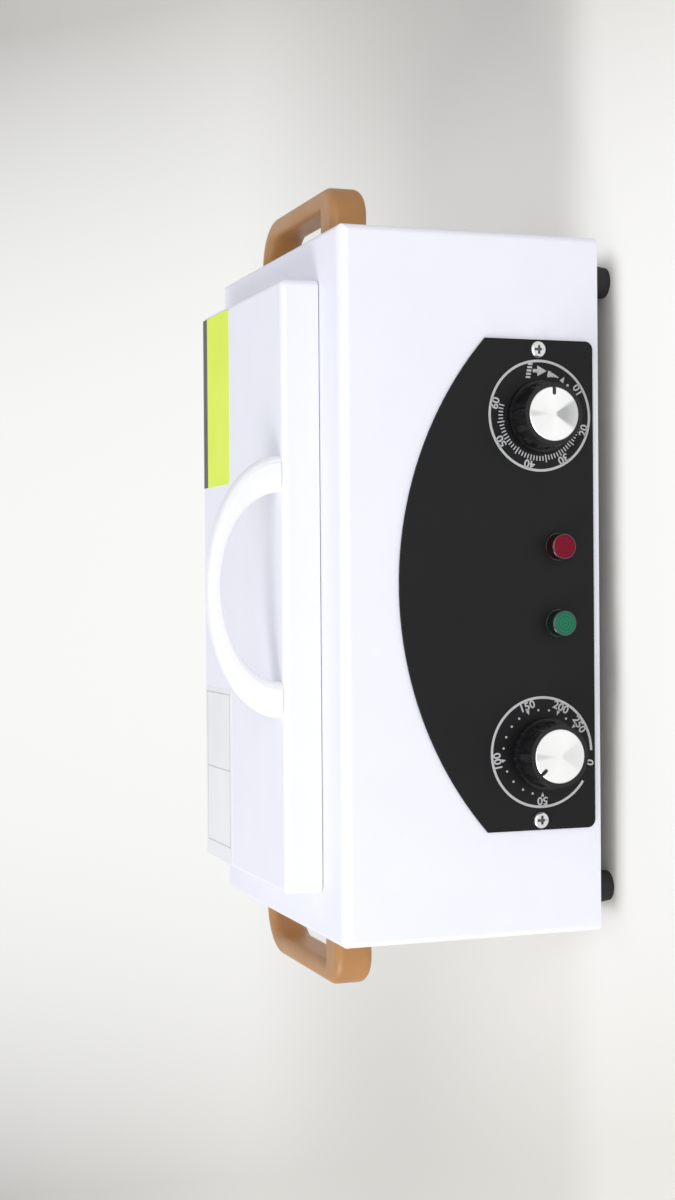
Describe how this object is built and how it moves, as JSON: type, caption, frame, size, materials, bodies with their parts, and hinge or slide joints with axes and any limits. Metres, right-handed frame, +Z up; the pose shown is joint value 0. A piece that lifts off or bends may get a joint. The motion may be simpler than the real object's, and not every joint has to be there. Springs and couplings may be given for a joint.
{
  "type": "dry heat sterilizer",
  "caption": "Bench-top dry heat sterilizer: white steel box with a hinged top lid and arched handle, D-shaped side handles, black control plate with knobs and lamps, tank and tray.",
  "frame": {"origin": "middle of the bounding box, on the surface that the feet stand on", "axes": "+Z up; the control plate faces -Y; +X to the right seen from the front"},
  "size_m": [0.397, 0.2216, 0.2029],
  "materials": {
    "powder_coat": "white powder coat, fine orange peel",
    "zinc_sheet": "zinc-plated sheet",
    "plated_steel": "bright plated",
    "plate_black": "satin black with white print",
    "knob_black": "moulded, satin",
    "spun_aluminium": "turned face",
    "control_case": "moulded case",
    "brass": "plain",
    "copper_tube": "drawn tube",
    "green_lens": "clear tinted",
    "red_lens": "clear tinted",
    "black_plastic": "moulded",
    "tan_plastic": "moulded, satin gloss",
    "white_plastic": "moulded, gloss",
    "foot_rubber": "black rubber",
    "seal_silicone": "red-brown silicone",
    "stainless": "fine brushed",
    "element_sheath": "heat-darkened",
    "mineral_wool": "fibrous",
    "ceramic": "unglazed",
    "yellow_film": "printed film",
    "white_film": "printed film"
  },
  "bodies": {
    "casing_body": {"outer_casing": "powder_coat", "base_pan": "zinc_sheet", "rear_panel": "powder_coat", "rear_panel_screws": "plated_steel", "base_pan_screws": "plated_steel", "control_plate": "plate_black", "control_plate_screws": "plated_steel", "temperature_control": "control_case", "temperature_bulb": "copper_tube", "timer_unit": "control_case", "control_nuts": "brass", "green_lamp_lens": "green_lens", "red_lamp_lens": "red_lens", "green_lamp_body": "black_plastic", "red_lamp_body": "black_plastic", "lamp_clips": "plated_steel", "left_side_handle": "tan_plastic", "right_side_handle": "tan_plastic", "side_handle_screws": "plated_steel", "front_left_foot": "foot_rubber", "front_right_foot": "foot_rubber", "rear_left_foot": "foot_rubber", "rear_right_foot": "foot_rubber", "foot_screws": "plated_steel", "foot_nuts": "brass", "inner_tank": "stainless", "perforated_tray": "stainless", "insulation_jacket": "zinc_sheet", "tank_insulation": "mineral_wool", "heating_element": "element_sheath", "element_saddles": "stainless", "thermal_cutout": "ceramic", "left_hinge_base": "plated_steel", "right_hinge_base": "plated_steel", "hinge_pins": "plated_steel", "hinge_base_rivets": "plated_steel", "power_inlet": "black_plastic", "inlet_blades": "brass", "inlet_screws": "plated_steel", "terminal_block": "ceramic", "terminal_block_screw": "plated_steel"},
    "lid_body": {"lid_shell": "powder_coat", "lid_liner": "stainless", "lid_insulation": "mineral_wool", "lid_seal": "seal_silicone", "lid_handle": "white_plastic", "lid_handle_screws": "plated_steel", "left_hinge_flap": "plated_steel", "right_hinge_flap": "plated_steel", "hinge_flap_rivets": "plated_steel", "yellow_label": "yellow_film", "white_label": "white_film"},
    "temperature_knob_body": {"temperature_shaft": "plated_steel", "temperature_knob": "knob_black", "temperature_knob_cap": "spun_aluminium"},
    "timer_knob_body": {"timer_shaft": "plated_steel", "timer_knob": "knob_black", "timer_knob_cap": "spun_aluminium"}
  },
  "joints": [
    {"name": "lid_hinge", "type": "hinge", "parent": "casing_body", "child": "lid_body", "pos_m": [0, 0.08925, 0.1499], "axis": [-1, 0, 0], "range_deg": [0, 95]},
    {"name": "temperature_knob_turn", "type": "hinge", "parent": "casing_body", "child": "temperature_knob_body", "pos_m": [-0.0827, -0.0992, 0.043], "axis": [0, 1, 0], "range_deg": [-124, 191]},
    {"name": "timer_knob_turn", "type": "hinge", "parent": "casing_body", "child": "timer_knob_body", "pos_m": [0.0827, -0.0992, 0.043], "axis": [0, 1, 0], "range_deg": [0, 285]}
  ]
}
